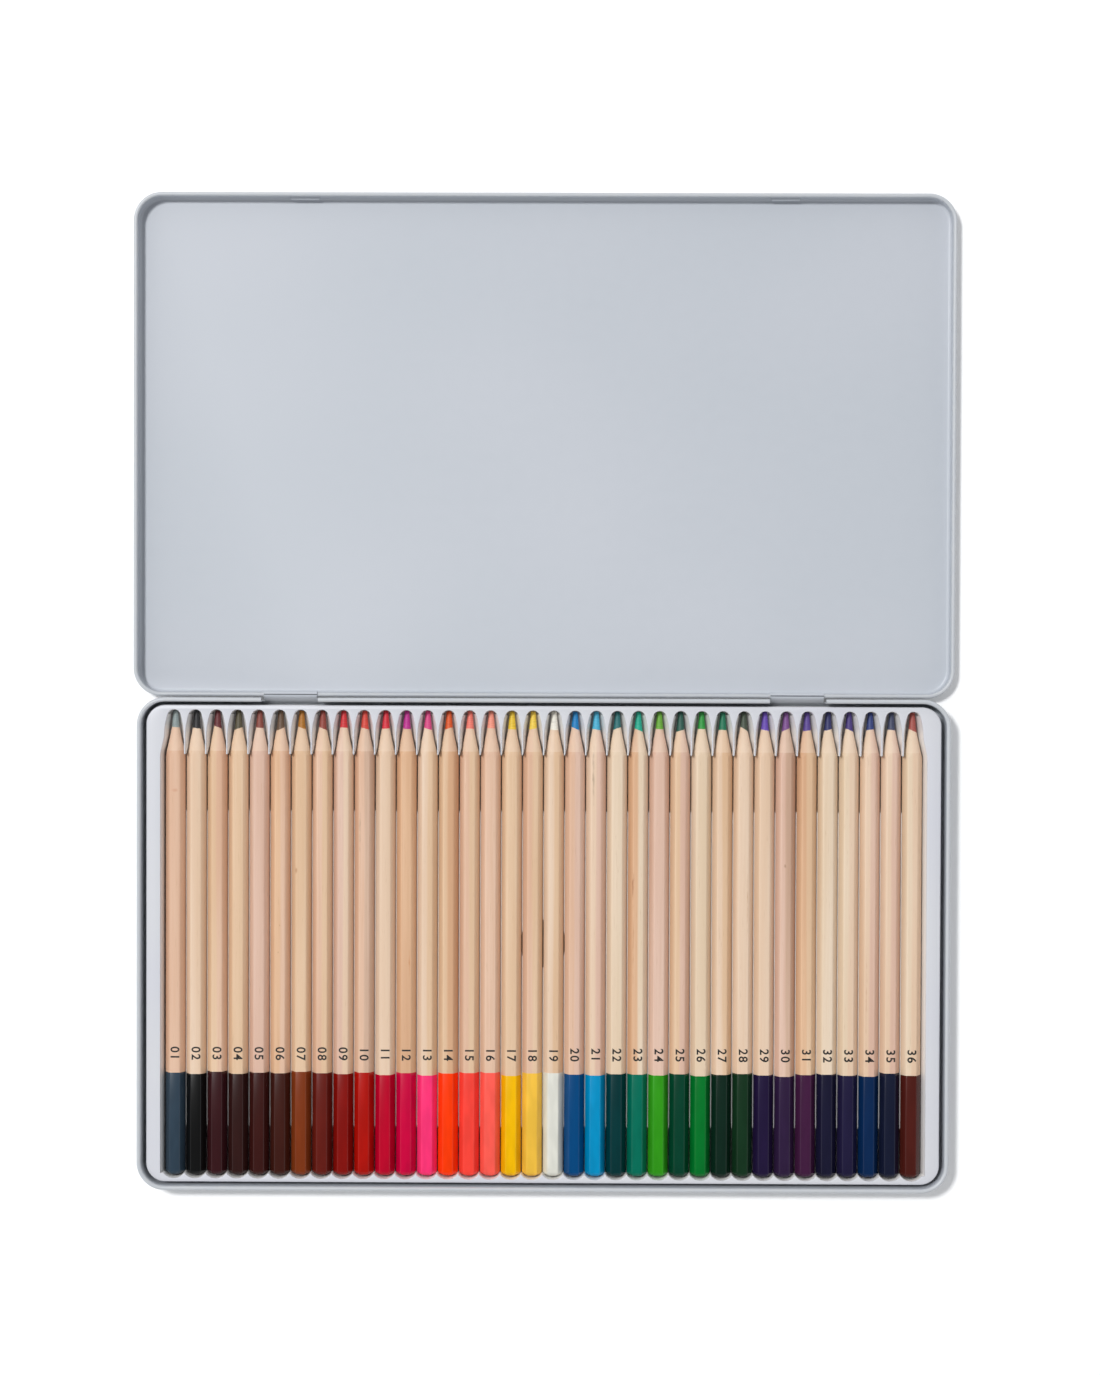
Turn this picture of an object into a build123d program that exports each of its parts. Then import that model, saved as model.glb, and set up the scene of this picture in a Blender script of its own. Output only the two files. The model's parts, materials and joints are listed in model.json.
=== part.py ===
"""Watercolour pencil set: thirty-six hexagonal pencils in a grooved plastic insert, in a flat hinged tin.

The tin lies open on a table, as it is used. X runs across the tin, +Y from the base tin to its lid,
+Z up, in millimetres. The origin is the middle of the base tin's underside. The lid lies on its back
behind the base and swings over on its own rolled rear edge, which two tongues of the base hold.
"""

import os
from math import asin, cos, degrees, radians, sin, sqrt, tan

from build123d import *

# Driving dimensions: the sheet metal tin
SHEET = 0.3  # tinplate of base and lid
BASE_HEIGHT = 12.0
BASE_BEAD = 1.6  # diameter of the base's rolled rim
LID_BEAD = 1.5  # diameter of the lid's rolled rim
BASE_CORNER = 10.5  # plan radius of the base, over its rim
LID_CORNER = 10.5  # plan radius of the lid, over its rim
BASE_EDGE = 1.5  # width of the slanted edge where the base's walls turn into its floor
LID_EDGE = 1.1  # the same on the lid, inside which the base's rim fits when the tin is shut
BEAD_SIDES = 8  # flats round a rolled rim
LID_CLEARANCE = 0.35  # from the base's rim to the lid's wall, all round
CLOSED_HEADROOM = 0.3  # from the base's rim up to the closed lid

# Driving dimensions: the hinge tongues and the snap dimples
TONGUE_WIDTH = 20.0
TONGUE_SPACING = 190.0  # between the two tongues' middles
TONGUE_ROOT = 4.0  # height where a tongue leaves the base's rear wall
TONGUE_LEAN = 0.6  # upright stretch of a tongue before it leans out
TONGUE_WRAP = 207.0  # degrees that a tongue curls round the lid's bead
BEAD_PLAY = 0.25  # between the lid's bead and the curl round it
SLOT_PLAY = 0.6  # each side of a tongue, in the lid's slot and in the base's rim
DIMPLE_SPACING = 180.0  # between the two dimples' middles
DIMPLE_LENGTH = 11.0
DIMPLE_HEIGHT = 1.7
DIMPLE_DEPTH = 0.9
DIMPLE_TAPER = 25.0  # degrees
DIMPLE_DROP = 0.15  # below the base's rim when the lid is shut

# Driving dimensions: the pencils
PENCIL_COUNT = 36
PENCIL_GAP = 0.173  # between the corners of two lacquered neighbours
PENCIL_LENGTH = 175.0
PENCIL_FLATS = 6.5  # across the flats
CORE_DIAMETER = 3.0
TIP_DIAMETER = 1.86  # the blunt end of the sharpened core
CORE_SHOWN = 6.6  # length of bare core
CONE_HALF_ANGLE = 12.2  # degrees, of the sharpened wood
CONE_SIDES = 12  # the cutter's facets, also on the core
LACQUER_LENGTH = 38.5
LACQUER = 0.1  # thickness of the dipped coat
LACQUER_CAP = 2.2  # thickness of the coat past the wood's end
CAP_DRAW = 1.4  # how far each flat draws in over the cap

# Driving dimensions: the vacuum-formed insert
FILM = 0.4  # plastic sheet
FLANGE_SIDES = 5.97  # width of the flange left and right of the pencils
FLANGE_TIPS = 1.7  # width of the flange past the recesses of the tips
FLANGE_ENDS = 1.3  # width of the flange past the scallops of the lacquered ends
INSERT_TOP = 9.85  # height of its flange above the table
TIN_GAP_SIDES = 1.8  # from the insert to the base's side walls
TIN_GAP_ENDS = 1.3  # from the insert to the base's front and rear walls
INSERT_PLAY = 0.05  # under its feet, and half of what is under the pencils
GROOVE_RISE = 0.4  # groove floors above the trough floors
GROOVE_PLAY = 0.2  # beside a lacquered pencil
RIDGE_TOP_WIDTH = 1.2
RECESS_ROOM = 0.4  # past a pencil's tip
RECESS_ARCH = 2.1  # radius of a recess's front end
RECESS_TURN = 82.0  # degrees that the front end turns to each side
ROUND_SIDES = 4  # flats round each end of a recess
RECESS_CUSP = 16.5  # from a pencil's tip to where two recesses meet
END_ROOM = 0.8  # past a pencil's lacquered end
END_CUSP = 2.65  # how deep the scalloped rear wall is
SIDE_ROOM = 0.45  # from half a pitch to the insert's side walls
TROUGH_FRONT = (19.0, 37.7)  # from a pencil's tip: start and end of the finger trough near the tips
TROUGH_REAR = (156.8, 171.8)  # the same for the trough near the lacquered ends
FINGER_HOLE = 18.0  # diameter of the round hole in the middle

# The row of pencils
PENCIL_PITCH = (PENCIL_FLATS + 2 * LACQUER) / cos(radians(30)) + PENCIL_GAP
HALF_ROW = PENCIL_PITCH * (PENCIL_COUNT - 1) / 2
TROUGH_FLOOR = SHEET + INSERT_PLAY + FILM
GROOVE_FLOOR = TROUGH_FLOOR + GROOVE_RISE
PENCIL_AXIS_Z = GROOVE_FLOOR + 2 * INSERT_PLAY + LACQUER + PENCIL_FLATS / 2

# The insert round the pencils
FIELD_X = HALF_ROW + PENCIL_PITCH / 2 + SIDE_ROOM  # its side walls
INSERT_LENGTH = 2 * (FIELD_X + FLANGE_SIDES)
INSERT_WIDTH = FLANGE_ENDS + END_ROOM + PENCIL_LENGTH + RECESS_ROOM + FLANGE_TIPS
INSERT_CORNER = BASE_CORNER - BASE_BEAD - TIN_GAP_SIDES
TIP_Y = INSERT_WIDTH / 2 - FLANGE_TIPS - RECESS_ROOM

# The tin round the insert, and the hinge axis
BASE_LENGTH = INSERT_LENGTH + 2 * (TIN_GAP_SIDES + BASE_BEAD)  # over the rolled rim, along X
BASE_WIDTH = INSERT_WIDTH + 2 * (TIN_GAP_ENDS + BASE_BEAD)  # over the rolled rim, along Y
BASE_WALL_Y = BASE_WIDTH / 2 - BASE_BEAD  # inner face of the front and rear walls
LID_LENGTH = BASE_LENGTH + 2 * (LID_CLEARANCE + LID_BEAD)
LID_WIDTH = BASE_WIDTH + 2 * (LID_CLEARANCE + LID_BEAD)
AXIS_Y = BASE_WIDTH / 2 + LID_CLEARANCE + LID_BEAD / 2
AXIS_Z = (BASE_HEIGHT + CLOSED_HEADROOM + SHEET) / 2
LID_HEIGHT = AXIS_Z + LID_BEAD / 2
LID_MIDDLE_Y = 2 * AXIS_Y
TONGUE_MIDDLES = (-TONGUE_SPACING / 2, TONGUE_SPACING / 2)
DIMPLE_MIDDLES = (-DIMPLE_SPACING / 2, DIMPLE_SPACING / 2)


def slab(outline, low, high):
    """A straight-sided solid on a plan outline, from one height to another."""
    return extrude(Pos(0, 0, low) * outline, amount=high - low, dir=(0, 0, 1))


def block(x, y, z):
    """A box from three (low, high) pairs."""
    size = [high - low for low, high in (x, y, z)]
    return Pos(x[0], y[0], z[0]) * Box(*size, align=(Align.MIN, Align.MIN, Align.MIN))


def rolled_rim(height, bead):
    """The rolled edge's outline, drawn with flats, from the wall's inner face over the top and back to the wall."""
    r = bead / 2
    step = 360 / BEAD_SIDES
    turns = [180 - step * (i + 0.5) for i in range(BEAD_SIDES - 1)]
    roll = [(r + r / cos(radians(step / 2)) * cos(radians(t)), r / cos(radians(step / 2)) * sin(radians(t)))
            for t in turns]
    tuck = -r * tan(radians(step / 2)) - SHEET
    return [(x, height - r + z) for x, z in roll] + [(SHEET, height - r + tuck)]


def rim_section(height, bead, edge):
    """One cut through floor edge, wall and rolled rim. Its local X is 0 at the wall's inner face, + outwards."""
    slant = SHEET * sqrt(2)  # the sheet's thickness, measured level across the pressed edge
    return Polygon(
        (-edge, 0),
        (-edge, SHEET),
        (2 * SHEET - edge - slant, SHEET),
        (0, edge - SHEET + slant),
        *rolled_rim(height, bead),
        (SHEET, edge),
        (SHEET - edge, 0),
        align=None,
    )


def tin_shell(length, width, height, bead, corner, edge):
    """A drawn tin on its floor: the rim section swept round the wall's inner line, and a floor plate inside."""
    wall_x, wall_y, wall_corner = length / 2 - bead, width / 2 - bead, corner - bead
    path = RectangleRounded(2 * wall_x, 2 * wall_y, wall_corner).face().outer_wire()
    start = Plane(origin=(wall_x, 0, 0), x_dir=(1, 0, 0), z_dir=(0, -1, 0))
    rim = sweep(start * rim_section(height, bead, edge), path=path)
    floor = RectangleRounded(2 * (wall_x - edge), 2 * (wall_y - edge), wall_corner - edge)
    return rim + slab(floor, 0, SHEET)


def tongue_section():
    """The strip of a hinge tongue in the YZ plane: up the wall, out to the lid's bead and round it."""
    bead_r = LID_BEAD / 2 + BEAD_PLAY
    curl_r = bead_r + SHEET / 2
    root_y, lean_z = BASE_WALL_Y + SHEET / 2, TONGUE_ROOT + TONGUE_LEAN
    axis = Vector(AXIS_Y, AXIS_Z)
    lean = Vector(root_y, lean_z)
    away = axis - lean
    # the leaning stretch touches the curl where the two meet at a right angle to the curl's radius
    reach = sqrt(away.length**2 - curl_r**2)
    along = Vector(
        (away.X * reach - away.Y * curl_r) / away.length**2,
        (away.Y * reach + away.X * curl_r) / away.length**2,
    )
    touch = lean + along * reach
    with BuildLine() as strip:
        Line((root_y, TONGUE_ROOT), (root_y, lean_z))
        Line((root_y, lean_z), (touch.X, touch.Y))
        wrapped = [touch - axis]
        for share in (0.5, 1.0):
            wrapped.append((touch - axis).rotate(Axis.Z, -TONGUE_WRAP * share))
        ThreePointArc(*[(p.X + axis.X, p.Y + axis.Y) for p in wrapped])
    return make_strip(strip.line)


def make_strip(line):
    """A line given the sheet's thickness, half to each side."""
    with BuildSketch() as strip:
        trace(line, line_width=SHEET)
    return strip.sketch


def across(section, middle, width):
    """A section drawn as (Y, Z), made a solid of this width centred on X = middle."""
    side = Plane(origin=(middle - width / 2, 0, 0), x_dir=(0, 1, 0), z_dir=(1, 0, 0))
    return extrude(side * section, amount=width, dir=(1, 0, 0))


def base_tin():
    """The base, with two gaps in its rear rim and a hinge tongue standing in each."""
    tin = tin_shell(BASE_LENGTH, BASE_WIDTH, BASE_HEIGHT, BASE_BEAD, BASE_CORNER, BASE_EDGE)
    rear = (BASE_WALL_Y - SHEET, BASE_WIDTH / 2 + SHEET)
    strip = tongue_section()
    for middle in TONGUE_MIDDLES:
        half = TONGUE_WIDTH / 2 + SLOT_PLAY
        tin -= block((middle - half, middle + half), rear, (TONGUE_ROOT + SHEET, BASE_HEIGHT + SHEET))
        tin += across(strip, middle, TONGUE_WIDTH)
    return tin


def dimple(middle):
    """The inward bump of one snap dimple and the hollow behind it, for the lid as it lies on its back."""
    wall_y = LID_MIDDLE_Y + LID_WIDTH / 2 - LID_BEAD
    shut_top = BASE_HEIGHT - BASE_BEAD - DIMPLE_DROP
    middle_z = 2 * AXIS_Z - shut_top + DIMPLE_HEIGHT / 2
    face = Plane(origin=(middle, wall_y, middle_z), x_dir=(1, 0, 0), z_dir=(0, -1, 0))
    bump = extrude(face * Rectangle(DIMPLE_LENGTH, DIMPLE_HEIGHT), amount=DIMPLE_DEPTH, taper=DIMPLE_TAPER)
    return bump, Pos(0, SHEET, 0) * bump


def lid_tin():
    """The lid on its back, with two dimples in its front wall and a slot beside its bead for each tongue."""
    tin = tin_shell(LID_LENGTH, LID_WIDTH, LID_HEIGHT, LID_BEAD, LID_CORNER, LID_EDGE)
    tin = Pos(0, LID_MIDDLE_Y, 0) * tin
    for middle in DIMPLE_MIDDLES:
        bump, hollow = dimple(middle)
        tin = tin + bump - hollow
    wall = AXIS_Y + LID_BEAD / 2
    curl_low = AXIS_Z - LID_BEAD / 2 - BEAD_PLAY - SHEET
    for middle in TONGUE_MIDDLES:
        half = TONGUE_WIDTH / 2 + SLOT_PLAY
        slot = (curl_low - BEAD_PLAY - SHEET, AXIS_Z - SHEET)
        tin -= block((middle - half, middle + half), (wall - SHEET, wall + SHEET), slot)
    return tin


def hexagon(flats):
    """A pencil's outline with one flat on top, as (X, Z)."""
    return RegularPolygon(flats / 2, 6, major_radius=False)


def facets(radius):
    """A facet ring of the sharpened end, turned so that a facet lies over each flat."""
    return RegularPolygon(radius, CONE_SIDES, major_radius=False, rotation=180 / CONE_SIDES)


def at(distance, outline):
    """An (X, Z) outline set across the pencil, this far behind its tip."""
    plane = Plane(origin=(0, TIP_Y - distance, PENCIL_AXIS_Z), x_dir=(1, 0, 0), z_dir=(0, -1, 0))
    return plane * outline


def straight(outline, start, end):
    """An (X, Z) outline run along the pencil between two distances behind its tip."""
    return extrude(at(start, outline), amount=end - start, dir=(0, -1, 0))


def drawn_in(rod, end, inwards, length):
    """A rod whose facets draw in towards one end by this much over this length. End 0 is far, -1 the tip."""
    face = rod.faces().sort_by(Axis.Y)[end]
    return chamfer(face.edges(), inwards, length, reference=face)


def pencil():
    """One pencil in the middle of the row: a wooden casing, the core through it and the dipped coat."""
    tip_r, core_r, widest = TIP_DIAMETER / 2, CORE_DIAMETER / 2, PENCIL_FLATS
    wood_end = PENCIL_LENGTH - LACQUER_CAP
    coat_start = PENCIL_LENGTH - LACQUER_LENGTH
    core = drawn_in(straight(facets(core_r), 0, wood_end), -1, core_r - tip_r, CORE_SHOWN)
    cone_length = (widest - core_r) / tan(radians(CONE_HALF_ANGLE))
    cone = drawn_in(straight(facets(widest), CORE_SHOWN, wood_end), -1, widest - core_r, cone_length)
    casing = straight(hexagon(PENCIL_FLATS), CORE_SHOWN, wood_end) & cone
    casing -= straight(facets(core_r), CORE_SHOWN, wood_end)
    coat = straight(hexagon(PENCIL_FLATS + 2 * LACQUER), coat_start, PENCIL_LENGTH)
    coat = drawn_in(coat, 0, CAP_DRAW, LACQUER_CAP)
    coat -= straight(hexagon(PENCIL_FLATS), coat_start, wood_end)
    return [casing, core, coat]


def pencil_places():
    return [i * PENCIL_PITCH - HALF_ROW for i in range(PENCIL_COUNT)]


def flatted_arc(middle, radius, turn, facing):
    """Points of a round end about a middle (x, y), drawn with flats, from left to right. It faces +Y or -Y."""
    angles = [radians(turn * (2 * i / ROUND_SIDES - 1)) for i in range(ROUND_SIDES + 1)]
    return [(middle[0] + radius * sin(a), middle[1] + facing * radius * cos(a)) for a in angles]


def recess_plan(grow):
    """The pocket in plan, moved outwards by grow: a bullet recess for each tip and scallops behind the ends.

    The grown plan shapes the underside, where the rear wall is straight.
    """
    half = PENCIL_PITCH / 2
    arch_y = TIP_Y + RECESS_ROOM - RECESS_ARCH
    spread = (half - RECESS_ARCH) / (RECESS_CUSP + RECESS_ROOM - RECESS_ARCH)
    cusp_y = arch_y - (half - RECESS_ARCH - grow) / spread
    side = FIELD_X + grow
    front = [(-side, cusp_y)]
    for x in pencil_places():
        front += flatted_arc((x, arch_y), RECESS_ARCH + grow, RECESS_TURN, 1) + [(x + half, cusp_y)]
    front[-1] = (side, cusp_y)
    end_y = TIP_Y - PENCIL_LENGTH - END_ROOM
    scallop = (half**2 + END_CUSP**2) / (2 * END_CUSP)
    rear = [(-side, end_y - grow)]
    if not grow:
        rear = [(-side, end_y + END_CUSP)]
        for x in pencil_places():
            points = flatted_arc((x, end_y + scallop), scallop, degrees(asin(half / scallop)), -1)
            rear += points[1:]
        rear[-1] = (side, end_y + END_CUSP)
    else:
        rear.append((side, end_y - grow))
    return Polygon(*front, *reversed(rear), align=None)


def groove_line(thinner):
    """Points across all grooves and ridges as (X, Z), moved down into the sheet by thinner."""
    reach = PENCIL_FLATS / 2 + LACQUER + GROOVE_PLAY  # from a pencil's axis to the groove's sloping sides
    slope = cos(radians(30))
    half = PENCIL_PITCH / 2
    floor = GROOVE_FLOOR - thinner
    top = PENCIL_AXIS_Z + 2 * ((half - RIDGE_TOP_WIDTH / 2) * slope - reach) - thinner
    wide = half - (reach + (GROOVE_FLOOR - PENCIL_AXIS_Z) / 2) / slope - thinner * tan(radians(30))
    narrow = RIDGE_TOP_WIDTH / 2 - thinner * tan(radians(30))
    points = [(-FIELD_X, floor)]
    for x in pencil_places()[:-1]:
        middle = x + half
        points += [(middle - wide, floor), (middle - narrow, top), (middle + narrow, top), (middle + wide, floor)]
    return points + [(FIELD_X, floor)]


def along(section, low, high):
    """An (X, Z) section made solid from one Y to another."""
    upright = Plane(origin=(0, low, 0), x_dir=(1, 0, 0), z_dir=(0, -1, 0))
    return extrude(upright * section, amount=high - low, dir=(0, 1, 0))


def grooved_sheet(low, high, foot):
    """The grooves between the two finger troughs, hollow under their ridges, which are closed at both ends."""
    top = groove_line(0)
    ends = Polygon(*top, (FIELD_X, foot), (-FIELD_X, foot), align=None)
    sheet = along(Polygon(*top, *reversed(groove_line(FILM)), align=None), low + FILM, high - FILM)
    return sheet + along(ends, low, low + FILM) + along(ends, high - FILM, high)


def insert_tray():
    """The formed sheet: flange and skirt, one pocket with its recesses, and grooves that part the pencils."""
    foot = SHEET + INSERT_PLAY
    above, below = INSERT_TOP + FILM, foot - FILM
    outside = RectangleRounded(INSERT_LENGTH, INSERT_WIDTH, INSERT_CORNER)
    inside = RectangleRounded(INSERT_LENGTH - 2 * FILM, INSERT_WIDTH - 2 * FILM, INSERT_CORNER - FILM)
    tray = slab(outside, foot, INSERT_TOP) - slab(recess_plan(0), TROUGH_FLOOR, above)
    tray -= slab(inside, below, INSERT_TOP - FILM) - slab(recess_plan(FILM), below, above)
    low, high = TIP_Y - TROUGH_REAR[0], TIP_Y - TROUGH_FRONT[1]
    tray -= block((-FIELD_X, FIELD_X), (low, high), (below, GROOVE_FLOOR))
    tray += grooved_sheet(low, high, foot)
    return tray - slab(Circle(FINGER_HOLE / 2), below, above)


def write(node, solids):
    for solid in solids:
        assert solid.is_valid, node
    shape = solids[0] if len(solids) == 1 else Compound(children=solids)
    export_step(shape, f"parts/{node}.step")


def main():
    os.makedirs("parts", exist_ok=True)
    write("base_tin", [base_tin()])
    write("lid_tin", [lid_tin()])
    write("insert_tray", [insert_tray()])
    pieces = pencil()
    for i, x in enumerate(pencil_places()):
        write(f"pencil_{i + 1:02d}", [Pos(x, 0, 0) * piece for piece in pieces])


main()
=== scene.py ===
# %% [markdown]
# # A watercolour pencil set in its open tin
#
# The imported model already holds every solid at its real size: two thin tins joined by a hinge, a formed
# plastic insert and thirty-six pencils. This lesson gives them the shapes and finishes that the eye
# expects: a real rolled rim, soft edges on the plastic, scalloped sharpening on the wood. We load the
# model first, because everything else takes its size and place from it.

# %% Load the model
import json
from math import atan2, cos, degrees, exp, log, pi, radians, sin, sqrt, tan

import bmesh
import bpy
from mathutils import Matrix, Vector


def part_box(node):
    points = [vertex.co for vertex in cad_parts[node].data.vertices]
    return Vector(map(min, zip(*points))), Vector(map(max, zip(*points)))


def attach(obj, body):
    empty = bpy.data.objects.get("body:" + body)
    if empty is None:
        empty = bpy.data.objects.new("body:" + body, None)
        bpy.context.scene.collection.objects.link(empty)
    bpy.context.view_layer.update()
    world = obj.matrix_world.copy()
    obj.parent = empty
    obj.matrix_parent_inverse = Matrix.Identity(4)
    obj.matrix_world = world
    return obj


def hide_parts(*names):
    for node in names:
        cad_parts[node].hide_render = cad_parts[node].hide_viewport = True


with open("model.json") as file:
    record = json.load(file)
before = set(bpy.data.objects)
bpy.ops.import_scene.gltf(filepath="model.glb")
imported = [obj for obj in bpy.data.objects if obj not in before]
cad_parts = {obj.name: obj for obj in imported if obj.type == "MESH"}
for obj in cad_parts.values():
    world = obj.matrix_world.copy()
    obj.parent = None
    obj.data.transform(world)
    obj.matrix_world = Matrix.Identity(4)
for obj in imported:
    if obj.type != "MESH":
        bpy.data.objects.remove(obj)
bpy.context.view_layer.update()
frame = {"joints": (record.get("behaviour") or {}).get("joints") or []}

MM = 0.001
SAME_PLACE = 0.01 * MM
MERGE_REACH = 0.002 * MM
UP = (0, 0, 1)
base_low, base_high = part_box("base_tin")
lid_low, lid_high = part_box("lid_tin")
tray_low, tray_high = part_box("insert_tray")
print("base", base_low, base_high)
print("lid", lid_low, lid_high)
print("insert", tray_low, tray_high)

# %% [markdown]
# ## A few helpers
#
# Blender's operators act on whatever is selected, so half of modelling in code is selecting. `only`
# leaves one piece selected and `pick` selects faces, edges or points by a test of their place.

# %% Helpers for selecting
def deselect():
    """Back to object mode, with nothing selected."""
    if bpy.context.mode != "OBJECT":
        bpy.ops.object.mode_set(mode="OBJECT")
    bpy.ops.object.select_all(action="DESELECT")


def only(piece):
    """Back to object mode, with just this piece selected and active."""
    deselect()
    piece.select_set(True)
    bpy.context.view_layer.objects.active = piece


def pick(kind, wanted):
    """In edit mode, selects the FACE, EDGE or VERT items whose middle passes the test, and counts them."""
    bpy.ops.mesh.select_mode(type=kind)
    bpy.ops.mesh.select_all(action="DESELECT")
    mesh = bmesh.from_edit_mesh(bpy.context.object.data)
    items = {"FACE": mesh.faces, "EDGE": mesh.edges, "VERT": mesh.verts}[kind]
    found = 0
    for item in items:
        corners = [item.co] if kind == "VERT" else [v.co for v in item.verts]
        if wanted(item, sum(corners, Vector()) / len(corners)):
            item.select_set(True)
            found += 1
    bmesh.update_edit_mesh(bpy.context.object.data)
    return found


# %% [markdown]
# A thin-walled shape is best drawn as a line that then sweeps out a surface. `start_at` makes a single
# point, `run` is the extrude that a modeller does with the E key, and `turn` is the same round an axis.
# At the end a modifier is added, set and applied in one go, seams are closed, and the piece is tied to
# its body.

# %% Helpers for drawing
def run(step):
    """Extrudes what is selected by this much."""
    bpy.ops.mesh.extrude_region_move(TRANSFORM_OT_translate={"value": step})


def turn(angle, middle, axis, steps):
    """Extrudes what is selected round an axis, by this many degrees. Spin counts them clockwise."""
    bpy.ops.mesh.spin(steps=steps, angle=-radians(angle), center=middle, axis=axis)


def start_at(place):
    """A new mesh of one point, in edit mode. A small plane, merged to its middle, is the quickest way."""
    deselect()
    bpy.ops.mesh.primitive_plane_add(size=MM, location=(0, 0, 0))
    bpy.ops.object.mode_set(mode="EDIT")
    bpy.ops.mesh.select_mode(type="VERT")
    bpy.ops.mesh.select_all(action="SELECT")
    bpy.ops.mesh.merge(type="CENTER")
    bpy.ops.transform.translate(value=place)
    return bpy.context.object


# %% Helpers for finishing
def apply_modifier(piece, kind, **settings):
    """Adds a modifier with these settings and applies it."""
    only(piece)
    bpy.ops.object.modifier_add(type=kind)
    modifier = piece.modifiers[-1]
    for name, value in settings.items():
        setattr(modifier, name, value)
    bpy.ops.object.modifier_apply(modifier=modifier.name)


def merge_and_face_out():
    """In edit mode, closes seams and points all faces the same way."""
    bpy.ops.mesh.select_all(action="SELECT")
    bpy.ops.mesh.remove_doubles(threshold=MERGE_REACH)
    bpy.ops.mesh.normals_make_consistent(inside=False)


def smooth(piece, angle):
    """Smooth shading, except over edges sharper than this."""
    only(piece)
    bpy.ops.object.shade_smooth_by_angle(angle=radians(angle))


def settle(piece, name, body, slot, *nodes):
    """Names a finished piece, lets it ride on its body and stand for its CAD nodes."""
    only(piece)
    piece.name = piece.data.name = name
    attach(piece, body)
    if nodes:
        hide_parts(*nodes)


# %% [markdown]
# ## Materials
#
# Every finish is a node tree on Object coordinates, so a pattern keeps its real size on every piece:
# metres in, millimetres of grain out. `Finish` is a small notebook around a Principled shader. It saves
# typing the same node calls again, and colours are given as the six hex digits that a paint chart shows.

# %% A notebook for node trees
def paint(chart):
    """A linear colour from the six hex digits of a paint chart."""
    shares = [int(chart[i:i + 2], 16) / 255 for i in (0, 2, 4)]
    return [s / 12.92 if s <= 0.04045 else ((s + 0.055) / 1.055) ** 2.4 for s in shares] + [1]


def fade(tree, value, low, high, start, end, way="SMOOTHSTEP"):
    """A number that is start where the value is below low, end above high, and fades in between."""
    node = tree.nodes.new("ShaderNodeMapRange")
    node.interpolation_type = way
    tree.links.new(value, node.inputs["Value"])
    for socket, limit in zip(("From Min", "From Max", "To Min", "To Max"), (low, high, start, end)):
        node.inputs[socket].default_value = limit
    return node.outputs["Result"]


class Finish:
    """A material with a Principled shader and a few ways of adding to it."""

    def __init__(self, name, colour, roughness, **sockets):
        self.material = bpy.data.materials.new(name)
        self.material.use_nodes = True
        self.tree = self.material.node_tree
        self.shader = self.tree.nodes["Principled BSDF"]
        self.shader.inputs["Base Color"].default_value = colour
        self.shader.inputs["Roughness"].default_value = roughness
        for socket, value in sockets.items():
            self.shader.inputs[socket.replace("_", " ")].default_value = value
        self.place = self.add("ShaderNodeTexCoord").outputs["Object"]

    def add(self, kind, **settings):
        node = self.tree.nodes.new(kind)
        for name, value in settings.items():
            setattr(node, name, value)
        return node

    def join(self, source, target):
        if hasattr(source, "links"):
            self.tree.links.new(source, target)
        else:
            target.default_value = source

    def scaled(self, scale, centre=(0, 0, 0)):
        """Object coordinates about a centre, stretched by a scale for each axis."""
        mapping = self.add("ShaderNodeMapping")
        self.join(self.place, mapping.inputs["Vector"])
        mapping.inputs["Location"].default_value = [-c * s for c, s in zip(centre, scale)]
        mapping.inputs["Scale"].default_value = scale
        return mapping.outputs["Vector"]

    def noise(self, vector, detail=2.0):
        node = self.add("ShaderNodeTexNoise")
        self.join(vector, node.inputs["Vector"])
        node.inputs["Scale"].default_value = 1.0
        node.inputs["Detail"].default_value = detail
        return node.outputs["Fac"]

    def math(self, operation, first, second=0.0):
        node = self.add("ShaderNodeMath", operation=operation)
        self.join(first, node.inputs[0])
        self.join(second, node.inputs[1])
        return node.outputs[0]

    def between(self, value, low, high, start=0.0, end=1.0):
        """A smooth step: start below low, end above high."""
        return fade(self.tree, value, low, high, start, end)

    def mix(self, share, first, second):
        node = self.add("ShaderNodeMix", data_type="RGBA")
        self.join(share, node.inputs["Factor"])
        self.join(first, node.inputs[6])
        self.join(second, node.inputs[7])
        return node.outputs[2]

    def axis(self, letter):
        """One of the three Object coordinates, in metres."""
        if not hasattr(self, "split"):
            self.split = self.add("ShaderNodeSeparateXYZ")
            self.join(self.place, self.split.inputs["Vector"])
        return self.split.outputs[letter]

    def near(self, place, reach, ragged):
        """1 at a place and 0 beyond its reach along each axis, with a more or less ragged border."""
        away = self.add("ShaderNodeVectorMath", operation="LENGTH")
        self.join(self.scaled([1 / r for r in reach], place), away.inputs[0])
        torn = self.math("MULTIPLY", self.noise(self.scaled((900, 300, 900)), detail=1), ragged)
        return self.between(self.math("ADD", away.outputs["Value"], torn), 1.0, 0.35)

    def colour(self, value):
        self.join(value, self.shader.inputs["Base Color"])

    def roughness(self, value):
        self.join(value, self.shader.inputs["Roughness"])

    def bump(self, height, distance, strength):
        node = self.add("ShaderNodeBump")
        node.inputs["Strength"].default_value = strength
        node.inputs["Distance"].default_value = distance
        self.join(height, node.inputs["Height"])
        self.join(node.outputs["Normal"], self.shader.inputs["Normal"])


# %% [markdown]
# ### Lacquered tinplate
#
# The tin is thin steel with a satin enamel baked on. Up close such a coat has a faint orange peel, and
# over a whole lid the tone drifts a little. On the rolled rim the coat is rubbed thinner, so it is a
# shade warmer and shinier there. A height mask on Z finds the rim of each tin without any painting. On
# the base a thin dark line of painted shade lies across each tongue, where it dips into the lid's slot:
# it stands for the shadow in that slit, not for a mark on the enamel.

# %% Tin enamel
WORN_BELOW_RIM, UNWORN_BELOW_RIM = 0.4 * MM, 1.4 * MM
# How sharp the painted shade line on the tongues is: fully dark this near its middle, gone this far away.
SHADE_LINE_DARK = 0.1 * MM
SHADE_LINE_GONE = 0.3 * MM


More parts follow.
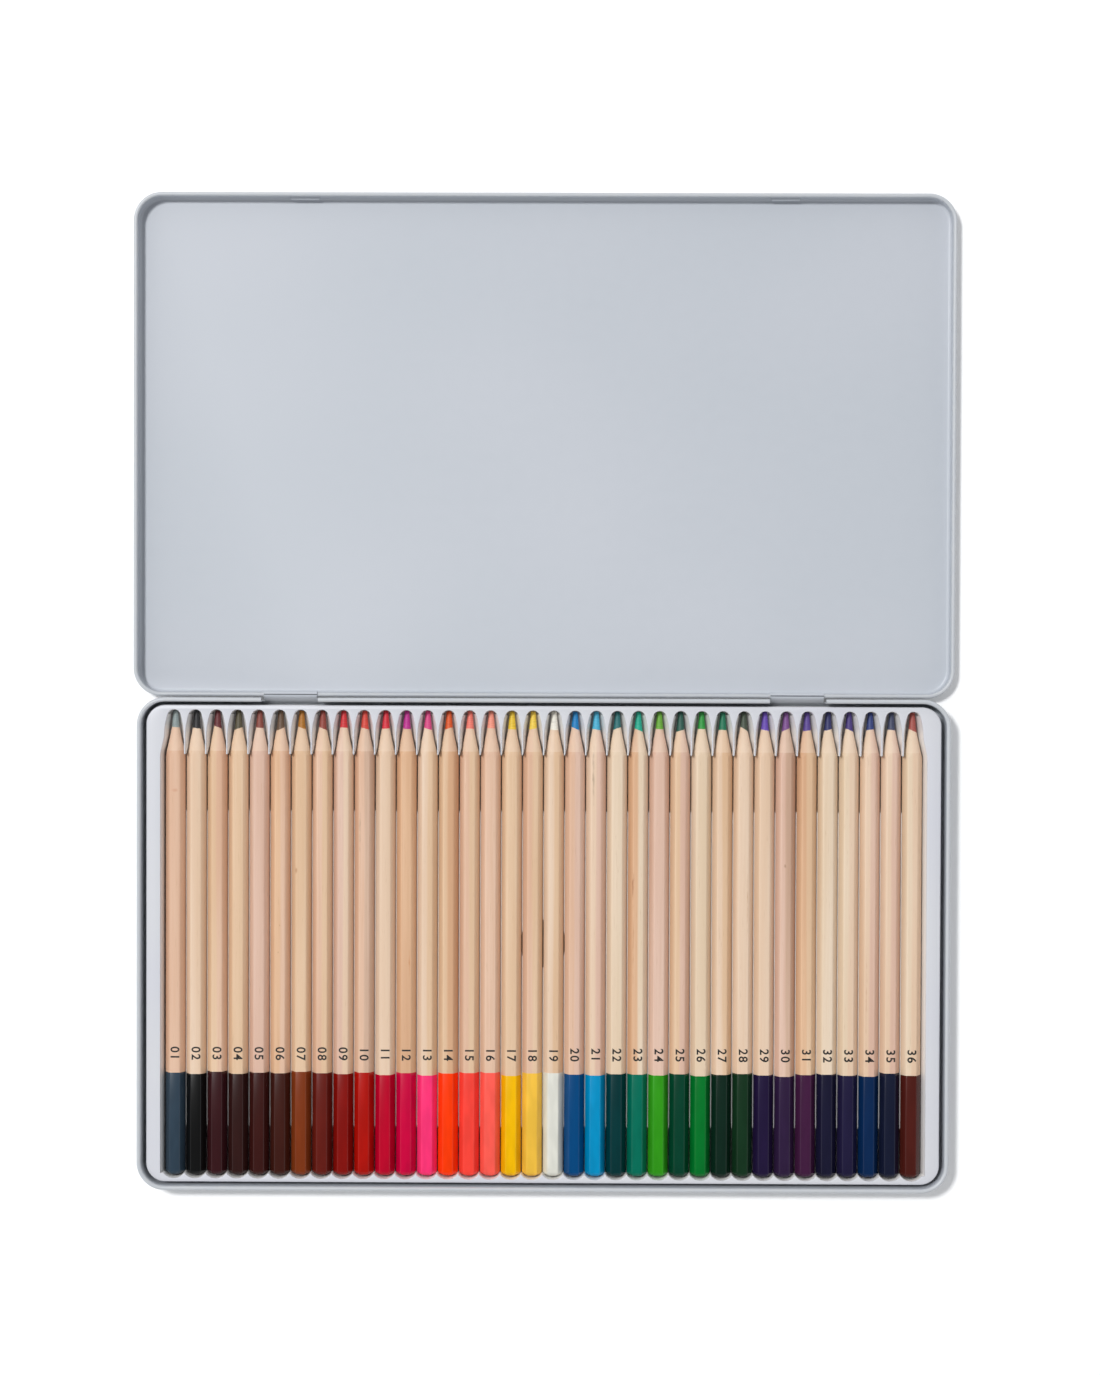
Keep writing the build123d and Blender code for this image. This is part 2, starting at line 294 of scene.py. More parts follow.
def tin_enamel(name, rim_height, slot_shade=None):
    """Satin enamel, rubbed on the rim. The optional line is painted shade along X, given by its Y and its
    lowest Z.
    """
    enamel = Finish(name, paint("b9bdc4"), 0.38, Specular_IOR_Level=0.45)
    drift = enamel.noise(enamel.scaled((9, 9, 9)), detail=1)
    tone = enamel.mix(enamel.between(drift, 0.3, 0.7), paint("b6bbc2"), paint("babec5"))
    rim = enamel.between(enamel.axis("Z"), rim_height - UNWORN_BELOW_RIM, rim_height - WORN_BELOW_RIM)
    rubbed = enamel.noise(enamel.scaled((260, 260, 260)), detail=3)
    worn = enamel.math("MULTIPLY", rim, enamel.between(rubbed, 0.3, 0.7, 0.5, 1.0))
    tone = enamel.mix(worn, tone, paint("bcbfc2"))
    # Painted shade: a dark line across each tongue, standing for the shadow where it dips into the lid's
    # slot.
    if slot_shade:
        y, (shade_line_y, shade_line_z) = enamel.axis("Y"), slot_shade
        above = enamel.between(enamel.axis("Z"), shade_line_z, shade_line_z + SHADE_LINE_GONE)
        line = enamel.math("MULTIPLY", enamel.between(y, shade_line_y - SHADE_LINE_GONE, shade_line_y - SHADE_LINE_DARK),
                           enamel.between(y, shade_line_y + SHADE_LINE_GONE, shade_line_y + SHADE_LINE_DARK))
        tone = enamel.mix(enamel.math("MULTIPLY", line, above), tone, paint("3a3f46"))
    enamel.colour(tone)
    enamel.roughness(enamel.between(rubbed, 0.2, 0.8, 0.33, 0.43))
    peel = enamel.noise(enamel.scaled((1400, 1400, 1400)), detail=1)
    enamel.bump(peel, 0.012 * MM, 0.35)
    return enamel.material


# %% [markdown]
# ## The tin's sheet
#
# A drawn tin is one sheet of constant thickness: flat floor, pressed edge, wall, rolled rim. It could be
# a box with an inset and a bevel, but then the rim would be solid and its corners square. So the sheet's
# middle line is drawn once as a section, from a single point, and swept round the plan: straight runs
# are extrudes and corners are quarter spins. A Solidify modifier gives the wall its thickness at the
# end.

# %% Sizes of the sheet
SHEET = 0.3 * MM
BASE_BEAD = 1.6 * MM
LID_BEAD = 1.5 * MM
PLAN_CORNER = 10.5 * MM
BASE_FLOOR_EDGE = 1.5 * MM
LID_FLOOR_EDGE = 1.3 * MM
ROLL = 290  # degrees that the rim curls on from the upright wall
FLOOR_EDGE_STEPS = 7
ROLL_STEPS = 22
CORNER_STEPS = 14
hinge = next(joint for joint in frame["joints"] if joint["name"] == "lid_hinge")
axis_y, axis_z = hinge["pos_m"][1:]
print("hinge axis", axis_y, axis_z)


def draw_section(wall_x, y, height, bead, floor_edge, levels):
    """The sheet's middle line: out of the floor, up the wall with stops at some levels, round the rim."""
    half = SHEET / 2
    piece = start_at((wall_x + half - floor_edge, y, half))
    turn(-90, (wall_x + half - floor_edge, y, half + floor_edge), (0, 1, 0), FLOOR_EDGE_STEPS)
    z = half + floor_edge
    for level in levels + [height - bead / 2]:
        run((0, 0, level - z))
        z = level
    turn(ROLL, (wall_x + bead / 2, y, height - bead / 2), (0, 1, 0), ROLL_STEPS)
    return piece


def run_along_x(start, end, stops):
    """Runs the section along X, with a stop at each of these places on the way."""
    backwards = end < start
    for x in sorted(stops + [end], reverse=backwards):
        run((x - start, 0, 0))
        start = x


def sweep_round(wall_x, wall_y, middle_y, corner, far_stops, near_stops):
    """Takes the whole section once round the plan, from the right wall's near end."""
    x, y = wall_x - corner, wall_y - corner
    bpy.ops.mesh.select_all(action="SELECT")
    run((0, 2 * y, 0))
    turn(90, (x, middle_y + y, 0), UP, CORNER_STEPS)
    run_along_x(x, -x, far_stops)
    turn(90, (-x, middle_y + y, 0), UP, CORNER_STEPS)
    run((0, -2 * y, 0))
    turn(90, (-x, middle_y - y, 0), UP, CORNER_STEPS)
    run_along_x(-x, x, near_stops)
    turn(90, (x, middle_y - y, 0), UP, CORNER_STEPS)
    merge_and_face_out()


def close_floor():
    """Fills the innermost edge loop, which lies level with the floor."""
    edges = pick("EDGE", lambda e, m: e.is_boundary and m.z < SHEET)
    bpy.ops.mesh.edge_face_add()
    bpy.ops.mesh.select_all(action="SELECT")
    bpy.ops.mesh.normals_make_consistent(inside=False)
    return edges


# %% [markdown]
# ### Base tin
#
# Two tongues of the base's own sheet hold the lid. They are not separate strips: the rear wall is cut
# down beside each tongue, and the tongue leaves the wall's cut edge, leans out and curls round the lid's
# rim. So we delete the wall above the cut, then extrude and spin the edge that is left.

# %% Base tin: the tongues
TONGUE_WIDTH = 20 * MM
TONGUE_SPACING = 190 * MM
SLOT_PLAY = 0.6 * MM
CUT_HEIGHT = 4.3 * MM
LEAN_HEIGHT = 4.6 * MM
TONGUE_CURL = 207
CURL_STEPS = 18
# Where the painted shade line lies on the tongues: just behind the hinge axis.
SHADE_LINE_BEHIND = 0.05 * MM
CURL_GAP = 0.25 * MM
CURL_RADIUS = LID_BEAD / 2 + CURL_GAP + SHEET / 2


def both_edges(spacing, half_width):
    """The X of the four edges of a pair: two things this far apart, each as wide as twice its half."""
    return [side * spacing / 2 + way * half_width for side in (-1, 1) for way in (-1, 1)]


base_wall_x, base_wall_y = base_high.x - BASE_BEAD, -base_low.y - BASE_BEAD
slot_edges = both_edges(TONGUE_SPACING, TONGUE_WIDTH / 2 + SLOT_PLAY)
tongue_edges = both_edges(TONGUE_SPACING, TONGUE_WIDTH / 2)


def beside_tongue(x, room=0.0):
    """Whether this X lies within a tongue's width, or a little more room."""
    return abs(abs(x) - TONGUE_SPACING / 2) < TONGUE_WIDTH / 2 + room


def raise_tongues():
    """Extrudes the two cut edges up, along a tangent to the curl, and round the hinge axis."""
    root_y = base_wall_y + SHEET / 2
    pick("EDGE", lambda e, m: abs(m.z - CUT_HEIGHT) < SAME_PLACE and m.y > 0 and beside_tongue(m.x)
         and abs(e.verts[0].co.x - e.verts[1].co.x) > 0.9 * TONGUE_WIDTH)
    run((0, 0, LEAN_HEIGHT - CUT_HEIGHT))
    away = Vector((0, axis_y - root_y, axis_z - LEAN_HEIGHT))
    reach = sqrt(away.length_squared - CURL_RADIUS ** 2)
    along = Vector((0, away.y * reach - away.z * CURL_RADIUS, away.z * reach + away.y * CURL_RADIUS))
    run(along * reach / away.length_squared)
    turn(TONGUE_CURL, (0, axis_y, axis_z), (-1, 0, 0), CURL_STEPS)


# %% Base tin: the shell
base = draw_section(base_wall_x, -(base_wall_y - PLAN_CORNER + BASE_BEAD), base_high.z, BASE_BEAD,
                    BASE_FLOOR_EDGE, [CUT_HEIGHT])
sweep_round(base_wall_x, base_wall_y, 0, PLAN_CORNER - BASE_BEAD, slot_edges + tongue_edges, [])
print("base floor edges:", close_floor())
gaps = pick("FACE", lambda f, m: m.y > base_wall_y - SHEET and m.z > CUT_HEIGHT
            and beside_tongue(m.x, SLOT_PLAY))
bpy.ops.mesh.delete(type="FACE")
raise_tongues()
apply_modifier(base, "SOLIDIFY", thickness=SHEET, offset=0, use_even_offset=True)
smooth(base, 40)
settle(base, "base_shell", "base", "tin_enamel", "base_tin")
# The base's enamel carries the painted shade line across its tongues.
base.data.materials.append(tin_enamel("base enamel", base_high.z, (axis_y + SHADE_LINE_BEHIND, axis_z)))
print("base shell:", len(base.data.polygons), "faces,", gaps, "cut away")

# %% [markdown]
# ### Lid tin
#
# The lid is drawn the same way and lies on its back. Its rim is the hinge pin, so the wall under the rim
# has a slot for each tongue. Two dimples in the opposite wall snap under the base's rim when the tin is
# shut: each is one face of the wall, inset in three small steps so that it gets the soft shoulders of
# pressed metal.

# %% Lid tin
DIMPLE_SPACING = 180 * MM
DIMPLE_LENGTH = 11 * MM
DIMPLE_LEVELS = [2.35 * MM, 4.05 * MM]
DIMPLE_STEPS = [(0.10 * MM, 0.06 * MM), (0.22 * MM, 0.62 * MM), (0.14 * MM, 0.22 * MM)]
DIMPLE_LEAST_AREA = 10 * MM * MM
SLOT_LEVELS = [4.45 * MM, 6.0 * MM]

lid_wall_x = lid_high.x - LID_BEAD
lid_middle_y = (lid_low.y + lid_high.y) / 2
lid_wall_y = (lid_high.y - lid_low.y) / 2 - LID_BEAD
dimple_edges = both_edges(DIMPLE_SPACING, DIMPLE_LENGTH / 2)


def press_dimples():
    """Insets the two wall faces and moves them in, in steps of an inset and a depth."""
    found = pick("FACE", lambda f, m: m.y > lid_middle_y + lid_wall_y - SHEET
                 and DIMPLE_LEVELS[0] < m.z < DIMPLE_LEVELS[1]
                 and abs(abs(m.x) - DIMPLE_SPACING / 2) < DIMPLE_LENGTH / 2
                 and f.calc_area() > DIMPLE_LEAST_AREA)
    for inset, depth in DIMPLE_STEPS:
        bpy.ops.mesh.inset(thickness=inset, depth=0)
        bpy.ops.transform.translate(value=(0, -depth, 0))
    return found


lid = draw_section(lid_wall_x, lid_middle_y - (lid_wall_y - PLAN_CORNER + LID_BEAD), lid_high.z, LID_BEAD,
                   LID_FLOOR_EDGE, DIMPLE_LEVELS + SLOT_LEVELS)
sweep_round(lid_wall_x, lid_wall_y, lid_middle_y, PLAN_CORNER - LID_BEAD, dimple_edges, slot_edges)
print("lid floor edges:", close_floor())
print("dimples:", press_dimples())
slots = pick("FACE", lambda f, m: SLOT_LEVELS[0] < m.z < SLOT_LEVELS[1] and beside_tongue(m.x, SLOT_PLAY)
             and abs(m.y - (lid_middle_y - lid_wall_y)) < SHEET)
bpy.ops.mesh.delete(type="FACE")
apply_modifier(lid, "SOLIDIFY", thickness=SHEET, offset=0, use_even_offset=True)
smooth(lid, 40)
settle(lid, "lid_shell", "lid", "tin_enamel", "lid_tin")
lid.data.materials.append(tin_enamel("lid enamel", lid_high.z))
print("lid shell:", len(lid.data.polygons), "faces,", slots, "cut away")

# %% [markdown]
# ## The formed insert
#
# The white insert is one sheet of plastic, softened and sucked over a mould, so nothing on it is sharp.
# In plan its pocket has a recess like a bullet for every tip, with a thin web to the next one, and a
# scallop behind every end, with a small cusp to the next one. The bullet's arch has three centres, as a
# mason would strike it: a small arc on top and two wide ones that lean in. One recess and one scallop
# are drawn with spins, and an Array modifier repeats them thirty-six times.

# %% Insert: sizes
COUNT = 36
FILM = 0.4 * MM
pencil_low, pencil_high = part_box("pencil_01")
last_low, last_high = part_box(f"pencil_{COUNT}")
pitch = ((last_low + last_high) / 2 - (pencil_low + pencil_high) / 2).x / (COUNT - 1)
half_row = pitch * (COUNT - 1) / 2
tip_y, end_y = pencil_high.y, pencil_low.y
pencil_z = (pencil_low.z + pencil_high.z) / 2
print("pitch", pitch, "tips at", tip_y, "axis height", pencil_z)

SOFT_EDGE = 0.15 * MM
FLANGE_SIDES = 5.25 * MM
trough_z = tray_low.z + FILM
field_x = tray_high.x - FLANGE_SIDES

# %% Insert: one recess
ARCH = 2.7 * MM
ARCH_LEAN = 17
TIP_ROOM = 0.6 * MM
WEB_TIP = 0.09 * MM
WEB_REACH = 16.2 * MM
WEB_STEPS = 4
LEAN_STEPS = 8
ARCH_STEPS = 12


def draw_recess():
    """One bullet recess, from web tip to web tip: a small arc on top, two wide ones, two straight legs."""
    half, leg, z = pitch / 2, pitch / 2 - WEB_TIP, tray_high.z
    lean = radians(ARCH_LEAN)
    wide = (leg - ARCH * cos(lean)) / (1 - cos(lean))
    top_y = tip_y + TIP_ROOM
    wide_y = top_y - ARCH * (1 - sin(lean)) - wide * sin(lean)
    web_y = tip_y - WEB_REACH + WEB_TIP
    piece = start_at((-half, web_y - WEB_TIP, z))
    turn(90, (-half, web_y, z), UP, WEB_STEPS)
    run((0, wide_y - web_y, 0))
    turn(-ARCH_LEAN, (wide - leg, wide_y, z), UP, LEAN_STEPS)
    turn(2 * ARCH_LEAN - 180, (0, top_y - ARCH, z), UP, ARCH_STEPS)
    turn(-ARCH_LEAN, (leg - wide, wide_y, z), UP, LEAN_STEPS)
    run((0, web_y - wide_y, 0))
    turn(90, (half, web_y, z), UP, WEB_STEPS)
    return piece, web_y - WEB_TIP, wide_y


# %% Insert: one scallop
CUSP_TIP = 0.2 * MM
CUSP_DEPTH = 2.1 * MM
CUSP_STEPS = 3
SCALLOP_STEPS = 12
END_ROOM = 0.8 * MM


def draw_scallop():
    """One scallop behind a lacquered end. The soft edge adds its own radius to the cusps later on."""
    half, z = pitch / 2, tray_high.z
    radius = (half ** 2 + CUSP_DEPTH ** 2) / (2 * CUSP_DEPTH)
    drop = sqrt((radius + CUSP_TIP) ** 2 - half ** 2)
    spread = degrees(atan2(half, drop))
    centre_y = end_y - END_ROOM + radius
    cusp_y = centre_y - drop
    cusps_end = cusp_y + CUSP_TIP - SOFT_EDGE
    piece = start_at((-half, cusps_end, z))
    turn(-spread, (-half, cusp_y, z), UP, CUSP_STEPS)
    turn(2 * spread, (0, centre_y, z), UP, SCALLOP_STEPS)
    turn(-spread, (half, cusp_y, z), UP, CUSP_STEPS)
    return piece, cusps_end


# %% [markdown]
# ### The pocket
#
# The rows of recesses and scallops are joined by two side walls, and the closed outline becomes one big
# face. Insetting that face step by step carries it over a rounded edge, down the wall and round a foot.
# The walls beside the row lean in more than the others, so their low points are moved in afterwards.

# %% Insert: the pocket's outline
JOIN_REACH = 0.005 * MM


def repeat_along_row(piece, count, start_x):
    """Copies a drawn unit along X at the pencils' pitch and joins the copies' ends."""
    apply_modifier(piece, "ARRAY", count=count, use_relative_offset=False, use_constant_offset=True,
                   constant_offset_displace=(pitch, 0, 0), use_merge_vertices=True,
                   merge_threshold=SAME_PLACE)
    bpy.ops.object.mode_set(mode="EDIT")
    bpy.ops.mesh.select_all(action="SELECT")
    bpy.ops.transform.translate(value=(start_x, 0, 0))


def run_to_sides(line_y):
    """Runs both ends of a line out to the pocket's side walls, and along them to the middle of the tray."""
    for way in (-1, 1):
        pick("VERT", lambda v, m: len(v.link_edges) == 1 and way * m.x > half_row)
        end = next(v.co for v in bmesh.from_edit_mesh(bpy.context.object.data).verts if v.select)
        run((way * (field_x + SOFT_EDGE) - end.x, line_y - end.y, 0))
        run((0, -line_y, 0))


tips, tips_end, legs_start = draw_recess()
repeat_along_row(tips, COUNT, -half_row)
pick("VERT", lambda v, m: abs(m.x) > half_row + 0.4 * pitch and m.y < legs_start - SAME_PLACE)
bpy.ops.mesh.delete(type="VERT")
run_to_sides(tips_end)
ends, ends_end = draw_scallop()
repeat_along_row(ends, COUNT, -half_row)
run_to_sides(ends_end)
only(tips)
ends.select_set(True)
bpy.ops.object.join()
pocket = bpy.context.object
bpy.ops.object.mode_set(mode="EDIT")
bpy.ops.mesh.select_all(action="SELECT")
bpy.ops.mesh.remove_doubles(threshold=JOIN_REACH)
bpy.ops.mesh.select_all(action="SELECT")
bpy.ops.mesh.edge_face_add()
print("pocket's outline:", len(bmesh.from_edit_mesh(pocket.data).verts), "points")

# %% Insert: the pocket's wall
WALL_LEAN = 0.08 * MM
SIDE_LEAN = 1.3 * MM
SOFT_STEPS = 4
FOOT = 0.5 * MM
FOOT_STEPS = 3


def sink(inset, depth):
    """Insets the selected face and lowers it, wherever its normal points."""
    bpy.ops.mesh.inset(thickness=inset, depth=0, use_even_offset=True)
    bpy.ops.transform.translate(value=(0, 0, -depth))


def soft_steps(radius, steps):
    """The (inward, downward) steps round a quarter of a circle, from level to upright."""
    turns = [pi / 2 * i / steps for i in range(steps + 1)]
    return [(radius * (sin(b) - sin(a)), radius * (cos(a) - cos(b))) for a, b in zip(turns, turns[1:])]


def in_foot(z):
    """Whether this height lies on the pocket's floor or in the rounded foot of its wall."""
    return -SAME_PLACE < z - trough_z < 1.01 * FOOT


pick("FACE", lambda f, m: True)
for inward, down in soft_steps(SOFT_EDGE, SOFT_STEPS):
    sink(inward, down)
sink(WALL_LEAN, tray_high.z - SOFT_EDGE - trough_z - FOOT)
for down, inward in reversed(soft_steps(FOOT, FOOT_STEPS)):
    sink(inward, down)
bpy.ops.mesh.delete(type="ONLY_FACE")
for way in (-1, 1):
    pick("VERT", lambda v, m: way * m.x > half_row + pitch / 2 + 0.1 * MM and in_foot(m.z))
    bpy.ops.transform.translate(value=(-way * SIDE_LEAN, 0, 0))
print("pocket:", len(bmesh.from_edit_mesh(pocket.data).faces), "faces")

# %% [markdown]
# ### Grooves and troughs
#
# Between two finger troughs the pocket's floor rises into grooves that hold the pencils apart. Their
# ridges reach almost to the middle of the pencils, and between two dark ends a narrow top shows as a
# white line. One ridge is drawn as a line, repeated with an Array, and extruded along the pencils. Its
# border is then extruded once more and scaled flat onto the floor's height, which makes all four end
# walls in one move.

# %% Insert: grooves
GROOVE_RISE = 0.4 * MM
RIDGE_RISE = 3.2 * MM
RIDGE_TOP = 0.6 * MM
RIDGE_FOOT = 4.0 * MM
TROUGH_FRONT_END = 37.7 * MM
TROUGH_REAR_START = 156.8 * MM
groove_z = trough_z + GROOVE_RISE
grooves_high, grooves_low = tip_y - TROUGH_FRONT_END, tip_y - TROUGH_REAR_START

ridges = start_at((-pitch / 2, grooves_low, groove_z))
run(((pitch - RIDGE_FOOT) / 2, 0, 0))
run(((RIDGE_FOOT - RIDGE_TOP) / 2, 0, RIDGE_RISE - GROOVE_RISE))
run((RIDGE_TOP, 0, 0))
run(((RIDGE_FOOT - RIDGE_TOP) / 2, 0, GROOVE_RISE - RIDGE_RISE))
run(((pitch - RIDGE_FOOT) / 2, 0, 0))
repeat_along_row(ridges, COUNT - 1, -half_row + pitch / 2)
field_side = field_x - WALL_LEAN - SIDE_LEAN - 1.2 * FOOT  # a little inside the side walls' feet
for way in (-1, 1):
    pick("VERT", lambda v, m: len(v.link_edges) == 1 and way * m.x > 0)
    run((way * (field_side - half_row), 0, 0))
bpy.ops.mesh.select_all(action="SELECT")
run((0, grooves_high - grooves_low, 0))
pick("EDGE", lambda e, m: e.is_boundary)
bpy.ops.mesh.extrude_region_move(TRANSFORM_OT_translate={"value": (0, 0, 0)})
bpy.ops.transform.resize(value=(1, 1, 0), center_override=(0, 0, trough_z))
print("grooves:", len(bmesh.from_edit_mesh(ridges.data).faces), "faces")

# %% [markdown]
# A round hole is punched through the grooves. A Boolean wants a closed body, so the grooves get a bottom
# for a moment, a cylinder cuts them, and then bottom and cut wall are deleted again: what stays is a
# sheet with a hole. The cylinder is a throwaway tool.

# %% Insert: the punched hole
FINGER_HOLE = 18 * MM
HOLE_SIDES = 48


def cut_away(piece, tool, operation):
    """Applies a Boolean with a tool object, then deletes the tool."""
    apply_modifier(piece, "BOOLEAN", object=tool, operation=operation, solver="EXACT")
    bpy.data.objects.remove(tool)


pick("EDGE", lambda e, m: e.is_boundary)
bpy.ops.mesh.edge_face_add()
merge_and_face_out()
deselect()
bpy.ops.mesh.primitive_cylinder_add(vertices=HOLE_SIDES, radius=FINGER_HOLE / 2, depth=4 * tray_high.z,
                                    location=(0, 0, 0))
cut_away(ridges, bpy.context.object, "DIFFERENCE")
bpy.ops.object.mode_set(mode="EDIT")
hole_edge = FINGER_HOLE / 2 + SAME_PLACE
punched = pick("FACE", lambda f, m: m.z < trough_z + SAME_PLACE
               or (f.normal.z ** 2 < 0.01 and max(v.co.xy.length for v in f.verts) < hole_edge))
bpy.ops.mesh.delete(type="FACE")
print("faces of the bottom and the cut wall:", punched)

# %% [markdown]
# ### Flange and skirt
#
# The flange starts as a plane at the insert's size. Bevelling its four corner points rounds it in plan,
# an extrude makes the skirt, and insets round its top edge. Its top and bottom faces then give way.

# %% Insert: flange and skirt
TRAY_CORNER = 7.1 * MM
TRAY_CORNER_STEPS = 10
SKIRT_EDGE = 0.5 * MM

deselect()
bpy.ops.mesh.primitive_plane_add(size=1, location=(0, 0, tray_low.z))
flange = bpy.context.object
flange.scale = (2 * tray_high.x, 2 * tray_high.y, 1)
bpy.ops.object.transform_apply(location=True, rotation=False, scale=True)
bpy.ops.object.mode_set(mode="EDIT")
bpy.ops.mesh.select_mode(type="VERT")
bpy.ops.mesh.select_all(action="SELECT")
bpy.ops.mesh.bevel(offset=TRAY_CORNER, segments=TRAY_CORNER_STEPS, affect="VERTICES")
pick("FACE", lambda f, m: True)
run((0, 0, tray_high.z - SKIRT_EDGE - tray_low.z))
for down, inward in reversed(soft_steps(SKIRT_EDGE, SOFT_STEPS)):
    sink(down, -inward)
bpy.ops.mesh.delete(type="ONLY_FACE")
bottoms = pick("FACE", lambda f, m: f.normal.z ** 2 > 0.9 and m.z < tray_low.z + SHEET)
bpy.ops.mesh.delete(type="ONLY_FACE")
print("skirt:", len(bmesh.from_edit_mesh(flange.data).faces), "faces, and", bottoms, "bottom cut out")

# %% [markdown]
# ### One sheet
#
# Skirt, pocket and grooves are joined, and a fill closes the flange round the pocket and the floor round
# the grooves. Under the tips the mould is narrower than at the flange, so the foot of each recess is
# scaled towards its pencil. Its floor also rises there, from a crease where the webs end: the floor is
# cut along that line, and what lies beyond it is turned up about it. Solidify gives the film its
# thickness last.

# %% Insert: the finished sheet
CONE_TAPER = 0.62
TIP_FLOOR_SLOPE = 8.2

only(flange)
pocket.select_set(True)
ridges.select_set(True)
bpy.ops.object.join()
insert = bpy.context.object
bpy.ops.object.mode_set(mode="EDIT")
for level in (tray_high.z, trough_z):
    edges = pick("EDGE", lambda e, m: e.is_boundary and abs(m.z - level) < SAME_PLACE)
    bpy.ops.mesh.fill(use_beauty=False)
    print("filled between", edges, "edges")
bpy.ops.mesh.bisect(plane_co=(0, tips_end, trough_z), plane_no=(0, 1, 0))
for index in range(COUNT):
    centre = index * pitch - half_row
    pick("VERT", lambda v, m: in_foot(m.z) and abs(m.x - centre) < pitch / 2
         and legs_start - MM < m.y < tip_y - MM)
    bpy.ops.transform.resize(value=(CONE_TAPER, 1, 1), center_override=(centre, 0, 0))
pick("VERT", lambda v, m: m.y > tips_end + SAME_PLACE and in_foot(m.z))
bpy.ops.transform.rotate(value=-radians(TIP_FLOOR_SLOPE), orient_axis="X",
                         center_override=(0, tips_end, trough_z))
print("tips' floor ends at", max(v.co.z for v in bmesh.from_edit_mesh(insert.data).verts if v.select))
merge_and_face_out()
apply_modifier(insert, "SOLIDIFY", thickness=FILM, offset=-1, use_even_offset=False)
smooth(insert, 35)
settle(insert, "insert_sheet", "insert", "insert_plastic", "insert_tray")
print("insert sheet:", len(insert.data.polygons), "faces")

# %% [markdown]
# ### Formed plastic
#
# The sheet is white polystyrene with a soft sheen and a faint grain. Its walls and floor are painted a
# paler tone than the flange: painted light, standing for the light that the thin, stretched film lets
# through and that bounces round the recesses. A height mask on Z does that.

# %% Insert plastic
# Depths below the flange where the painted light starts and where it is full.
PAINTED_LIGHT_START, PAINTED_LIGHT_FULL = 0.1 * MM, 1.2 * MM


def insert_plastic():
    """White plastic, grey-white on the flange, with painted light that makes it paler below it."""
    plastic = Finish("white formed plastic", paint("cdcdd4"), 0.36, IOR=1.5)
    cloud = plastic.noise(plastic.scaled((14, 14, 40)), detail=2)
    flat = plastic.mix(plastic.between(cloud, 0.3, 0.7), paint("c9cad2"), paint("cecfd3"))
    # Painted light: the colour turns paler below the flange, for light through the thin walls and bounced
    # in the recesses.
    depth = plastic.between(plastic.axis("Z"), tray_high.z - PAINTED_LIGHT_START, tray_high.z - PAINTED_LIGHT_FULL)
    plastic.colour(plastic.mix(depth, flat, paint("eeecea")))
    grain = plastic.noise(plastic.scaled((900, 900, 900)), detail=2)
    plastic.roughness(plastic.between(grain, 0.25, 0.75, 0.32, 0.42))
    plastic.bump(grain, 0.01 * MM, 0.4)
    return plastic.material


insert.data.materials.append(insert_plastic())

# %% [markdown]
# ## A pencil
#
# One pencil is modelled and then copied. Its casing is a hexagonal rod with rounded corners. A sharpener
# cuts it with a blade that is not quite straight: about five degrees on the lead and twelve on the wood,
# with a soft change between. Where that cone meets the six flats it leaves six scallops. Nobody models
# scallops by hand: the rod is intersected with the cone, and they come out by themselves.

# %% Pencil: sizes
WOOD_FLATS = 6.64 * MM
CORNER_ROUND = 0.32 * MM
CORNER_ROUND_STEPS = 4
LEAD_RADIUS = 1.5 * MM
TIP_RADIUS = 0.93 * MM
LEAD_SHOWN = 6.6 * MM
LEAD_SLOPE = (LEAD_RADIUS - TIP_RADIUS) / LEAD_SHOWN
WOOD_SLOPE = tan(radians(12.2))
SLOPE_BLEND = 0.06 * MM
COAT_LENGTH = 38.5 * MM
COAT_CAP = 1.7 * MM
coat_flats = pencil_high.z - pencil_low.z
first_x = (pencil_low.x + pencil_high.x) / 2


def sharpened(distance):
    """Radius of the sharpened end this far behind the tip: two slopes with a soft change between them."""
    lead = TIP_RADIUS + LEAD_SLOPE * distance
    wood = LEAD_RADIUS + WOOD_SLOPE * (distance - LEAD_SHOWN)
    return lead + SLOPE_BLEND * log(1 + exp((wood - lead) / SLOPE_BLEND))


def hexagon_at(flats, y):
    """A filled hexagon across the pencil, one flat on top, its corners rounded, in edit mode."""
    deselect()
    bpy.ops.mesh.primitive_circle_add(vertices=6, radius=flats / sqrt(3), fill_type="NGON",
                                      rotation=(radians(90), radians(30), 0))
    bpy.ops.object.transform_apply(location=False, rotation=True, scale=False)
    piece = bpy.context.object
    bpy.ops.object.mode_set(mode="EDIT")
    bpy.ops.mesh.select_mode(type="VERT")
    bpy.ops.mesh.select_all(action="SELECT")
    bpy.ops.transform.translate(value=(first_x, y, pencil_z))
    bpy.ops.mesh.bevel(offset=CORNER_ROUND, segments=CORNER_ROUND_STEPS, affect="VERTICES")
    pick("FACE", lambda f, m: True)
    return piece


def revolve(profile, sides):
    """A closed solid of revolution about the pencil's axis, from (behind the tip, radius) pairs."""
    distance, radius = profile[0]
    piece = start_at((first_x + radius, tip_y - distance, pencil_z))
    for (d0, r0), (d1, r1) in zip(profile, profile[1:]):
        run((r1 - r0, d0 - d1, 0))
    bpy.ops.mesh.select_all(action="SELECT")
    turn(360, (first_x, 0, pencil_z), (0, 1, 0), sides)
    merge_and_face_out()
    return piece


# %% Pencil: casing
WOOD_STOPS = [d * MM for d in (4.6, 5.4, 6.0, 6.5, 7.0, 7.6, 8.4, 9.6, 12, 16, 20)]
LEAD_PROUD = 0.03 * MM
CUTTER_CONE = 25 * MM
CUTTER_LENGTH = 180 * MM
CUTTER_RADIUS = 5 * MM
CUTTER_SIDES = 60
wood_end = end_y + COAT_CAP

